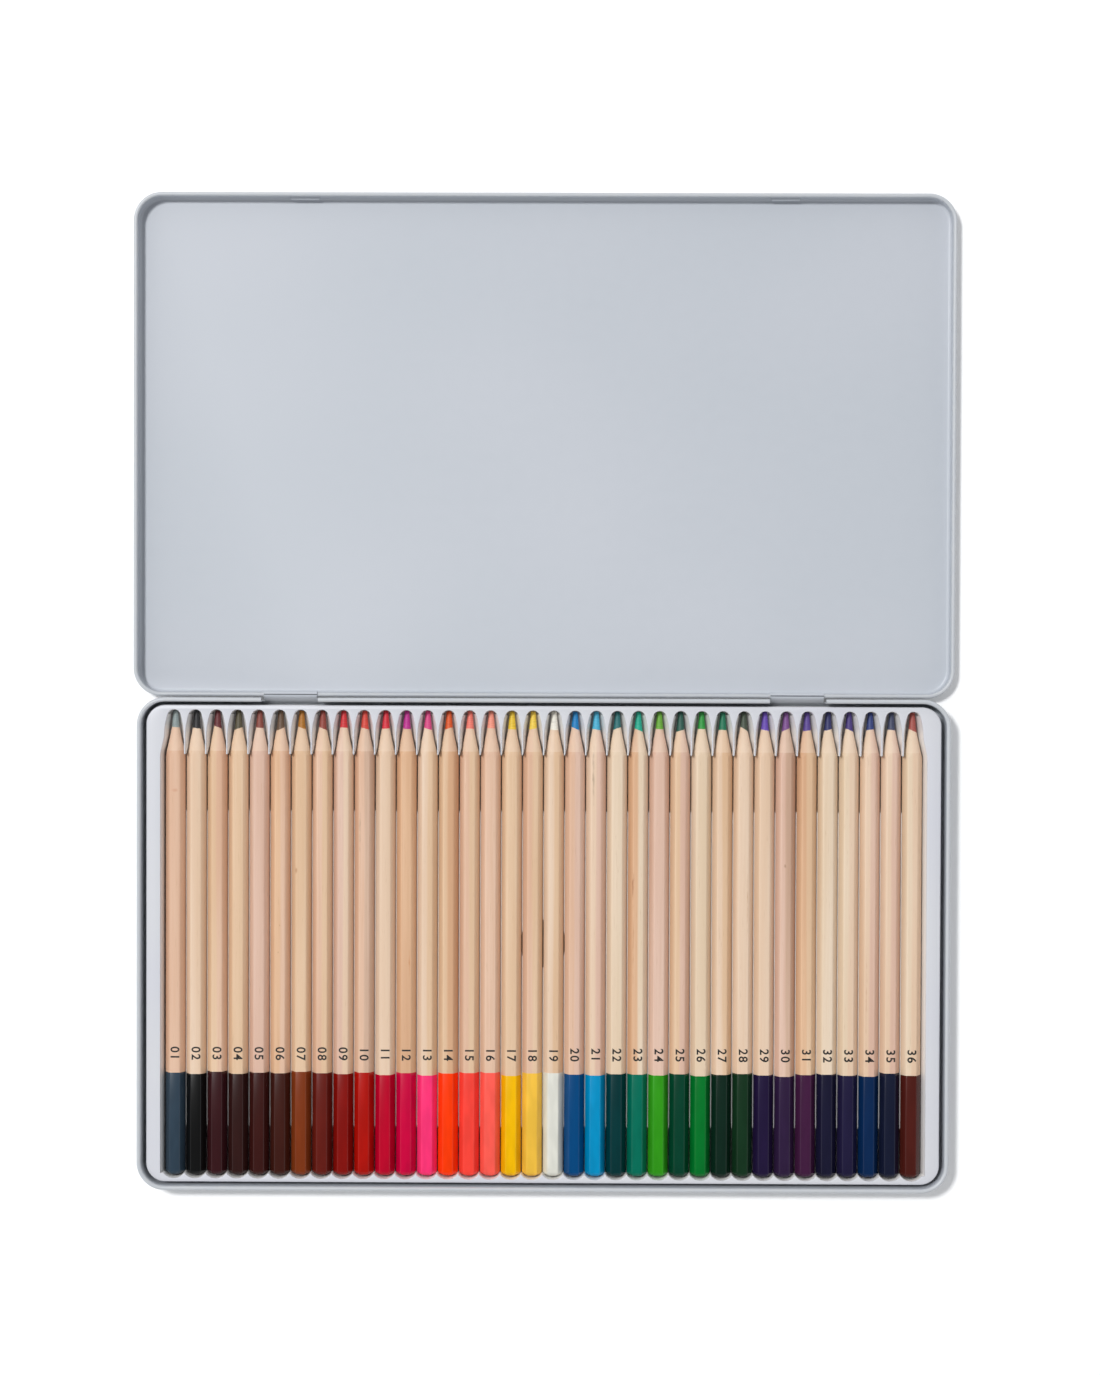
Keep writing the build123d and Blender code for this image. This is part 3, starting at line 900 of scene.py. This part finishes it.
casing = hexagon_at(WOOD_FLATS, wood_end)
run((0, tip_y - wood_end, 0))
merge_and_face_out()
cone = [(WOOD_STOPS[0], 0)] + [(stop, sharpened(stop) - LEAD_PROUD) for stop in WOOD_STOPS]
cone += [(CUTTER_CONE, CUTTER_RADIUS), (CUTTER_LENGTH, CUTTER_RADIUS), (CUTTER_LENGTH, 0)]
cutter = revolve(cone, CUTTER_SIDES)
cut_away(casing, cutter, "INTERSECT")
smooth(casing, 24)
print("casing:", len(casing.data.polygons), "faces")

# %% [markdown]
# ### Lead and dipped end
#
# The lead is its own piece, a hair prouder than the wood, because a sharpener tears the soft wood a
# little lower than the hard lead. Its border is hardly ever level: the lead sits off centre, so one side
# of the cone meets it sooner. A tilted cut, different on each pencil, gives that. The dipped coat is a
# slightly larger hexagon whose end face is inset and pushed out in steps along a quarter ellipse, like a
# drop of lacquer.

# %% Pencil: lead and coat
LEAD_NOSE = [(0, 0), (0, 0.62 * MM), (0.08 * MM, 0.80 * MM), (0.26 * MM, 0.93 * MM)]
LEAD_STOPS = [d * MM for d in (1.2, 2.4, 3.6, 4.8, 5.6, 6.2, 6.8, 7.4, 8.2)]
LEAD_MADE = 8.6 * MM
LEAD_SIDES = 40
DOME_STEPS = 7
DOME_TURN = 12.5
DOME_DRAW = 0.68  # share of its width that the dome loses towards its end
COAT_LIP = 0.09 * MM
COAT_LIP_REACH = 0.3 * MM


def lead_piece():
    """The bare lead, made longer than it shows, so that each copy can be trimmed on the slant."""
    along = [(stop, sharpened(stop)) for stop in LEAD_STOPS]
    return revolve(LEAD_NOSE + along + [(LEAD_MADE, 0)], LEAD_SIDES)


def coat_piece():
    """The dipped end: a rod that starts with a thin edge and closes in a flat dome."""
    start = end_y + COAT_LENGTH
    piece = hexagon_at(coat_flats, start)
    bpy.ops.mesh.select_all(action="SELECT")
    run((0, end_y + COAT_CAP - start, 0))
    y, size = end_y + COAT_CAP, 1.0
    for index in range(1, DOME_STEPS + 1):
        dome = radians(DOME_TURN * index)
        step = end_y + COAT_CAP * (1 - sin(dome)) - y
        run((0, step, 0))
        y += step
        share = 1 - DOME_DRAW * (1 - cos(dome))
        drawn_in = (share / size, 1, share / size)
        bpy.ops.transform.resize(value=drawn_in, center_override=(first_x, y, pencil_z))
        size = share
    pick("FACE", lambda f, m: len(f.verts) > 4 and m.y > start - MM)
    bpy.ops.mesh.inset(thickness=COAT_LIP, depth=0)
    bpy.ops.transform.translate(value=(0, COAT_LIP_REACH, 0))
    merge_and_face_out()
    smooth(piece, 30)
    return piece


lead = lead_piece()
coat = coat_piece()
print("lead:", len(lead.data.polygons), "faces, coat:", len(coat.data.polygons), "faces")

# %% [markdown]
# ## Thirty-six colours, thirty-six pieces of wood
#
# Each line names a pigment, the colour of its lacquer, the colour of its lead, and its wood. Wood is
# never one colour: two tones stand for the two slats that a pencil is glued from, so a line may name the
# same tone twice or two different ones. A second list gives some pencils a knot, a dark streak or a few
# dots, each with its place in millimetres on the top flat, its size, its colour and how much of it
# shows.

# %% The colour range
WOODS = {  # pale tone, darker tone
    "cream": ("e0c7af", "d8b99c"), "straw": ("dec0a1", "d3af8c"), "peach": ("dcbaa1", "d1a78a"),
    "rose": ("dbbca9", "cfa994"), "tan": ("dab390", "cc9f7b"), "grey": ("d1b19a", "bd9a83"),
    "pale": ("e2ceb7", "d8c0a3"),
}
RANGE = [  # pigment, lacquer, lead, first slat, second slat
    ("slate", "30404e", "8f9c9c", "peach", "peach"), ("black", "0e0e0e", "2c2c2e", "cream", "cream"),
    ("maroon", "361418", "6a3034", "straw", "peach"), ("umber", "301614", "5a5440", "straw", "straw"),
    ("russet", "3a1512", "8c4a40", "rose", "rose"), ("sepia", "3e1912", "6a5240", "tan", "peach"),
    ("ochre", "7e3614", "b0742a", "straw", "straw"), ("brick", "631a12", "96483e", "peach", "straw"),
    ("carmine", "820e08", "d2343a", "rose", "cream"), ("scarlet", "ac1006", "d84c40", "peach", "grey"),
    ("crimson", "b80028", "d83040", "cream", "cream"), ("magenta", "c6003c", "c03092", "tan", "tan"),
    ("pink", "f83474", "dc4c88", "cream", "straw"), ("orange", "fb3a00", "de5a26", "straw", "tan"),
    ("coral", "f34438", "f07e70", "peach", "straw"), ("salmon", "f95c50", "f59a84", "peach", "peach"),
    ("yellow", "efb600", "ecc83a", "straw", "straw"), ("lemon", "eebc42", "f2d050", "peach", "straw"),
    ("white", "deddd2", "ece8dc", "cream", "straw"), ("blue", "004478", "1c84c4", "peach", "rose"),
    ("sky", "008cbe", "4ab2d4", "cream", "rose"), ("petrol", "003436", "2c7274", "pale", "pale"),
    ("turquoise", "006a54", "1eac90", "tan", "pale"), ("grass", "309416", "6cae3a", "rose", "rose"),
    ("pine", "003e2a", "2c5c50", "straw", "rose"), ("green", "007028", "2e9a40", "pale", "pale"),
    ("forest", "0a261b", "1e7858", "cream", "straw"), ("olive", "12321c", "4a5648", "cream", "cream"),
    ("violet", "201438", "6a4cb2", "cream", "cream"), ("purple", "2e1c3c", "7e5090", "rose", "grey"),
    ("plum", "401a3c", "5c4694", "tan", "straw"), ("indigo", "17162f", "34366a", "pale", "pale"),
    ("lilac", "1f1a3a", "4c3c80", "pale", "cream"), ("navy", "06264e", "36447e", "cream", "rose"),
    ("ink", "14192f", "444a66", "cream", "rose"), ("sienna", "4c1a14", "a8564e", "pale", "cream"),
]
MARKS = [  # pencil, behind the tip, across, length, width, colour, strength
    (1, 30, 0.1, 1.6, 3.2, "c98f72", 0.5), (6, 80.7, 0.0, 0.9, 0.5, "8a6244", 0.8),
    (6, 90.8, -0.6, 0.8, 0.5, "8a6244", 0.7), (7, 60, -1.8, 2.6, 1.1, "b07f5c", 0.7),
    (10, 45, -1.6, 22, 0.8, "9c8670", 0.5), (12, 94, 1.3, 11, 0.6, "bf7c4c", 0.7),
    (21, 24, -1.0, 26, 0.9, "a58f78", 0.7), (23, 65, -1.9, 10, 1.0, "8f5630", 0.9),
    (23, 85, -1.7, 40, 0.5, "b07a50", 0.5), (28, 70, 1.6, 30, 0.5, "b58c68", 0.5),
    (30, 57.6, -0.2, 1.6, 1.0, "a07f66", 0.7), (31, 81, 2.6, 2.2, 0.8, "9a5a34", 0.9),
    (34, 110, -1.2, 40, 0.6, "c39a80", 0.6),
]
assert len(RANGE) == COUNT
print("pencils:", ", ".join(line[0] for line in RANGE))

# %% [markdown]
# ### Wood, pigment, lacquer and print
#
# Pencil wood shows three scales at once: a slow drift of tone along the slat, fine fibres a few
# centimetres long, and short dark vessels. All three are noise that is stretched along Y. The sharpened
# cone is bare wood, lighter than the oiled flats, and a test of the distance from the pencil's axis
# finds it exactly. The marks of this pencil are laid over its tones, each with a ragged border.

# %% Wood
FLATS_FROM, CONE_WITHIN = 0.4992 * WOOD_FLATS, 0.4975 * WOOD_FLATS


def wood(index, first_slat, second_slat):
    """Two-tone wood with its grain along the pencil, and a paler cone."""
    centre = first_x + index * pitch
    finish = Finish(f"wood {index + 1:02d}", paint(WOODS[first_slat][0]), 0.52, Specular_IOR_Level=0.35)
    here = (centre, 0.37 * index, pencil_z)
    slow = finish.noise(finish.scaled((130, 5, 130), (centre, 0.5 * index, 0)), detail=2)
    fibres = finish.noise(finish.scaled((1500, 30, 1500), here), detail=3)
    vessels = finish.noise(finish.scaled((3800, 160, 3800), here), detail=2)
    slats = []
    for tones in (WOODS[first_slat], WOODS[second_slat]):
        tone = finish.mix(finish.between(slow, 0.3, 0.7), paint(tones[0]), paint(tones[1]))
        slats.append(finish.mix(finish.between(fibres, 0.35, 0.8, 0.0, 0.5), tone, paint(tones[1])))
    side = finish.math("SUBTRACT", finish.axis("X"), centre)
    wander = finish.math("MULTIPLY", finish.math("SUBTRACT", slow, 0.5), 2 * MM)
    border = finish.between(finish.math("ADD", side, wander), -0.5 * MM, 0.5 * MM)
    tone = finish.mix(border, slats[0], slats[1])
    tone = finish.mix(finish.between(vessels, 0.62, 0.8, 0.0, 0.35), tone, paint("b08a66"))
    for number, behind, across, length, width, chart, strength in MARKS:
        if number == index + 1:
            place = (centre + across * MM, tip_y - behind * MM, pencil_z + WOOD_FLATS / 2)
            mark = finish.near(place, (width * MM, length * MM, 3 * MM), 0.9)
            tone = finish.mix(finish.math("MULTIPLY", mark, strength), tone, paint(chart))
    height = finish.math("SUBTRACT", finish.axis("Z"), pencil_z)
    reach = finish.math("SQRT", finish.math("ADD", finish.math("MULTIPLY", side, side),
                                            finish.math("MULTIPLY", height, height)))
    bare = finish.between(reach, FLATS_FROM, CONE_WITHIN)
    finish.colour(finish.mix(finish.math("MULTIPLY", bare, 0.35), tone, paint("e6d2be")))
    finish.roughness(finish.between(bare, 0, 1, 0.5, 0.75))
    finish.bump(fibres, 0.03 * MM, 0.5)
    return finish.material


# %% Lacquer, lead and print
def lacquer(index, name, chart):
    """A dipped coat: glossy, with the slight waves of a coat that flowed while it dried."""
    coat_finish = Finish(f"lacquer {name}", paint(chart), 0.2, Specular_IOR_Level=0.32)
    waves = coat_finish.noise(coat_finish.scaled((320, 90, 320), (0, 0.31 * index, 0)), detail=1)
    coat_finish.colour(coat_finish.mix(coat_finish.between(waves, 0.3, 0.7, 0.0, 0.12), paint(chart),
                                       paint("000000")))
    coat_finish.bump(waves, 0.05 * MM, 0.3)
    return coat_finish.material


def pigment(index, name, chart):
    """Pressed pigment: matt, with the fine rings that the blade leaves round it."""
    centre = first_x + index * pitch
    core = Finish(f"pigment {name}", paint(chart), 0.5, Specular_IOR_Level=0.4)
    rings = core.noise(core.scaled((200, 5000, 200), (centre, 0.2 * index, 0)), detail=2)
    core.colour(core.mix(core.between(rings, 0.35, 0.75, 0.0, 0.3), paint(chart), paint("181614")))
    core.bump(rings, 0.02 * MM, 0.5)
    return core.material


def print_ink():
    """Hot-stamped foil print, nearly black, a little broken by the wood under it."""
    ink = Finish("stamped print", paint("120d0b"), 0.45)
    gaps = ink.noise(ink.scaled((2500, 500, 2500)), detail=2)
    ink.colour(ink.mix(ink.between(gaps, 0.6, 0.8, 0.0, 0.3), paint("120d0b"), paint("5a4436")))
    return ink.material


# %% [markdown]
# ## Laying out the row
#
# The masters are copied one after another, each copy with its own mesh, moved inside that mesh by whole
# pitches. Apart from colour and grain, two things differ from pencil to pencil. `SLANTS` says how much the
# border of each lead leans, and `REACHES` how many millimetres farther up each coat reaches. The number is
# a text that becomes a mesh before it is put in place. It reads from the tip towards the end.

# %% Row of pencils: what differs
SLANTS = [0.2, 0.5, 1.4, -1.2, 0.3, -1.5, 1.3, 1.5, 0.2, 0.9, -0.2, 0.4, 1.0, -1.1, 0.1, 0.1, 0.3, -0.6,
          0.2, 1.5, 0.6, -1.3, 1.4, 0.2, -1.0, 0.1, 0.1, 2.2, 0.8, -1.6, -0.5, -0.9, 1.5, -0.4, 0.3, 1.6]
REACHES = [0.1, -0.4, 0.5, -0.3, 0.2, 0.0, 0.6, 0.1, -0.2, 0.4, -0.5, 0.3, -0.6, 0.2, 0.4, 0.5, -0.6, 0.4,
           0.5, 0.0, -0.3, 0.2, 0.1, -0.2, 0.3, -0.4, 0.1, 0.5, 0.0, -0.5, 0.2, 0.4, 0.0, -0.3, 0.9, 0.1]
SLANT_SHARE = 0.28
CUT_WANDER = 0.25 * MM
CUT_TILT = 0.12
LETTER_SIZE = 4.6 * MM
LETTER_SPACING = 1.2
PRINT_GAP = 5.0 * MM
PRINT_WEIGHT = 0.085 * MM
PRINT_DEPTH = 0.012 * MM


def copied(master, shift):
    """A copy with its own mesh, moved along the row inside that mesh."""
    only(master)
    bpy.ops.object.duplicate(linked=False)
    piece = bpy.context.object
    piece.location.x = shift
    bpy.ops.object.transform_apply(location=True, rotation=False, scale=False)
    return piece


def trimmed_lead(index, shift):
    """A copy of the lead, cut off by a plane that tilts by this pencil's slant in X."""
    piece = copied(lead, shift)
    bpy.ops.object.mode_set(mode="EDIT")
    bpy.ops.mesh.select_all(action="SELECT")
    across, upward = SLANT_SHARE * SLANTS[index], CUT_TILT * sin(index)
    cut_y = tip_y - LEAD_SHOWN + CUT_WANDER * cos(3 * index)
    bpy.ops.mesh.bisect(plane_co=(first_x + shift, cut_y, pencil_z), plane_no=(-across, -1, upward),
                        use_fill=True, clear_outer=True)
    bpy.ops.mesh.select_all(action="SELECT")
    bpy.ops.mesh.normals_make_consistent(inside=False)
    smooth(piece, 30)
    return piece


def dipped_coat(index, shift):
    """A copy of the coat, whose thin edge reaches a little more or less far up."""
    piece = copied(coat, shift)
    bpy.ops.object.mode_set(mode="EDIT")
    pick("VERT", lambda v, m: m.y > end_y + COAT_LENGTH - MM)
    bpy.ops.transform.translate(value=(0, REACHES[index] * MM, 0))
    bpy.ops.object.mode_set(mode="OBJECT")
    return piece


def number_print(index, shift):
    """The pencil's number, laid on its top flat."""
    deselect()
    bpy.ops.object.text_add(location=(0, 0, 0))
    text = bpy.context.object
    text.data.body = f"{index + 1:02d}"
    text.data.size = LETTER_SIZE
    text.data.space_character = LETTER_SPACING
    text.data.align_x, text.data.align_y = "RIGHT", "CENTER"
    text.data.extrude = PRINT_DEPTH / 2
    text.data.offset = PRINT_WEIGHT
    bpy.ops.object.convert(target="MESH")
    text = bpy.context.object
    text.rotation_euler = (0, 0, radians(-90))
    text.location = (first_x + shift, end_y + COAT_LENGTH + PRINT_GAP, pencil_z + WOOD_FLATS / 2)
    bpy.ops.object.transform_apply(location=True, rotation=True, scale=False)
    bpy.ops.object.mode_set(mode="EDIT")
    merge_and_face_out()
    bpy.ops.object.mode_set(mode="OBJECT")
    return text


# %% Row of pencils: the copies
ink = print_ink()
for index, (name, coat_chart, lead_chart, first_slat, second_slat) in enumerate(RANGE):
    shift, tag = index * pitch, f"{index + 1:02d}"
    body = f"loose_pencil_{tag}"
    parts = [
        (copied(casing, shift), "casing", "pencil_wood", wood(index, first_slat, second_slat)),
        (trimmed_lead(index, shift), "lead", "pigment", pigment(index, name, lead_chart)),
        (dipped_coat(index, shift), "coat", "lacquer", lacquer(index, name, coat_chart)),
        (number_print(index, shift), "number", "imprint", ink),
    ]
    for piece, kind, slot, finish in parts:
        piece.data.materials.append(finish)
        settle(piece, f"{kind}_{tag}", body, slot, *([f"pencil_{tag}"] if kind == "casing" else []))
for master in (casing, lead, coat):
    bpy.data.objects.remove(master)
print("pencils in the row:", COUNT)

# %% [markdown]
# ## Table, light and camera
#
# The set lies on a plain white table. The table has to look white, keep the tin's soft shadow and throw
# no light of its own onto the tin. So it is a pale surface with a glow that only the rays which show
# something meet: into the camera, off a glossy surface or through a clear one. The glow is faint beside
# the tin, where the shadow lies, and grows with the distance, where the lamp reaches less.

# %% Table
TABLE_SIZE = 6.0
GLOW_FROM, GLOW_TO = 0.4, 1.4
FAINT_GLOW, FULL_GLOW = 0.1, 0.5


def looked_at(tree):
    """1 for the rays that show something: into the camera, off a glossy surface or through a clear one."""
    path = tree.nodes.new("ShaderNodeLightPath")
    total = path.outputs["Is Camera Ray"]
    for kind in ("Is Glossy Ray", "Is Transmission Ray"):
        node = tree.nodes.new("ShaderNodeMath")
        node.operation, node.use_clamp = "ADD", True
        tree.links.new(total, node.inputs[0])
        tree.links.new(path.outputs[kind], node.inputs[1])
        total = node.outputs[0]
    return total


def table_finish():
    """White, with a glow for the rays that show it, which grows away from the object."""
    table = Finish("white table", (0.9, 0.9, 0.9, 1), 0.7)
    away = table.add("ShaderNodeVectorMath", operation="LENGTH")
    table.join(table.place, away.inputs[0])
    glow = table.add("ShaderNodeEmission")
    strength = table.between(away.outputs["Value"], GLOW_FROM, GLOW_TO, FAINT_GLOW, FULL_GLOW)
    table.join(table.math("MULTIPLY", looked_at(table.tree), strength), glow.inputs["Strength"])
    both = table.add("ShaderNodeAddShader")
    table.join(table.shader.outputs[0], both.inputs[0])
    table.join(glow.outputs[0], both.inputs[1])
    table.join(both.outputs[0], table.tree.nodes["Material Output"].inputs["Surface"])
    return table.material


deselect()
bpy.ops.mesh.primitive_plane_add(size=TABLE_SIZE, location=(0, lid_low.y, 0))
table = bpy.context.object
table.name = "table"
table.data.materials.append(table_finish())
print("table:", table.dimensions)

# %% [markdown]
# The light of a product shot from above: one soft box up left, far enough away to light both tins
# evenly, gives the short shadows down right, and a bright room fills them. The room is dim overhead,
# where the camera hangs, because the level lacquer mirrors that part and would look grey. A low view
# meets a plain white backdrop instead of the room. Nothing is overexposed, so the colours render about
# as they are written.

# %% The room
ROOM_COLOUR = (0.95, 0.97, 1.0, 1)
BRIGHT_BELOW, DIM_ABOVE = 0.62, 0.95
BRIGHT_ROOM, DIM_ROOM = 0.7, 0.14
BACKDROP_BELOW, ROOM_ABOVE = 0.4, 0.6


def studio():
    """The world: a room that is dim overhead, and a white backdrop for low rays that show something."""
    world = bpy.data.worlds.new("studio")
    world.use_nodes = True
    tree = world.node_tree
    nodes, links = tree.nodes, tree.links
    direction = nodes.new("ShaderNodeSeparateXYZ")
    links.new(nodes.new("ShaderNodeTexCoord").outputs["Generated"], direction.inputs["Vector"])
    height = direction.outputs["Z"]
    room = nodes["Background"]
    room.inputs["Color"].default_value = ROOM_COLOUR
    links.new(fade(tree, height, BRIGHT_BELOW, DIM_ABOVE, BRIGHT_ROOM, DIM_ROOM), room.inputs["Strength"])
    backdrop = nodes.new("ShaderNodeBackground")
    backdrop.inputs["Color"].default_value = (1, 1, 1, 1)
    share = nodes.new("ShaderNodeMath")
    share.operation = "MULTIPLY"
    links.new(looked_at(tree), share.inputs[0])
    links.new(fade(tree, height, BACKDROP_BELOW, ROOM_ABOVE, 1.0, 0.0, way="LINEAR"), share.inputs[1])
    either = nodes.new("ShaderNodeMixShader")
    for source, socket in zip((share, room, backdrop), either.inputs):
        links.new(source.outputs[0], socket)
    links.new(either.outputs[0], nodes["World Output"].inputs["Surface"])
    return world


bpy.context.scene.world = studio()
bpy.context.scene.view_settings.view_transform = "Standard"
print("room strength", BRIGHT_ROOM, "all round and", DIM_ROOM, "overhead")

# %% The soft box
TO_SOFT_BOX = Vector((-1.92, 1.62, 5.25))
SOFT_BOX_SIZE = 0.78
SOFT_BOX_WATTS = 243

middle = Vector((0, (base_low.y + lid_high.y) / 2, 0))
bpy.ops.object.light_add(type="AREA", location=middle + TO_SOFT_BOX)
lamp = bpy.context.object
lamp.name = "key light"
lamp.data.size = SOFT_BOX_SIZE
lamp.data.energy = SOFT_BOX_WATTS
lamp.rotation_euler = (-TO_SOFT_BOX).to_track_quat("-Z", "Y").to_euler()
print("soft box at", lamp.location)

# %% [markdown]
# The photograph was taken from straight above, from a little over a metre away, with the camera tipped
# by about one degree. From there the rims shift a little towards the picture's edges, and most in its
# corners.

# %% Camera
EYE = Vector((0.0113, 0.1205, 1.141))
AIM = Vector((0.0022, 0.0964, 0.0))
ROLL_OF_CAMERA = 0.19
LENS = 79.2

bpy.ops.object.camera_add(location=EYE)
camera = bpy.context.object
tip, swing = atan2(AIM.y - EYE.y, EYE.z), atan2(EYE.x - AIM.x, EYE.z)
camera.rotation_euler = (tip, swing, radians(ROLL_OF_CAMERA))
camera.data.lens = LENS
bpy.context.scene.camera = camera
print("camera at", camera.location, "looks at", AIM)
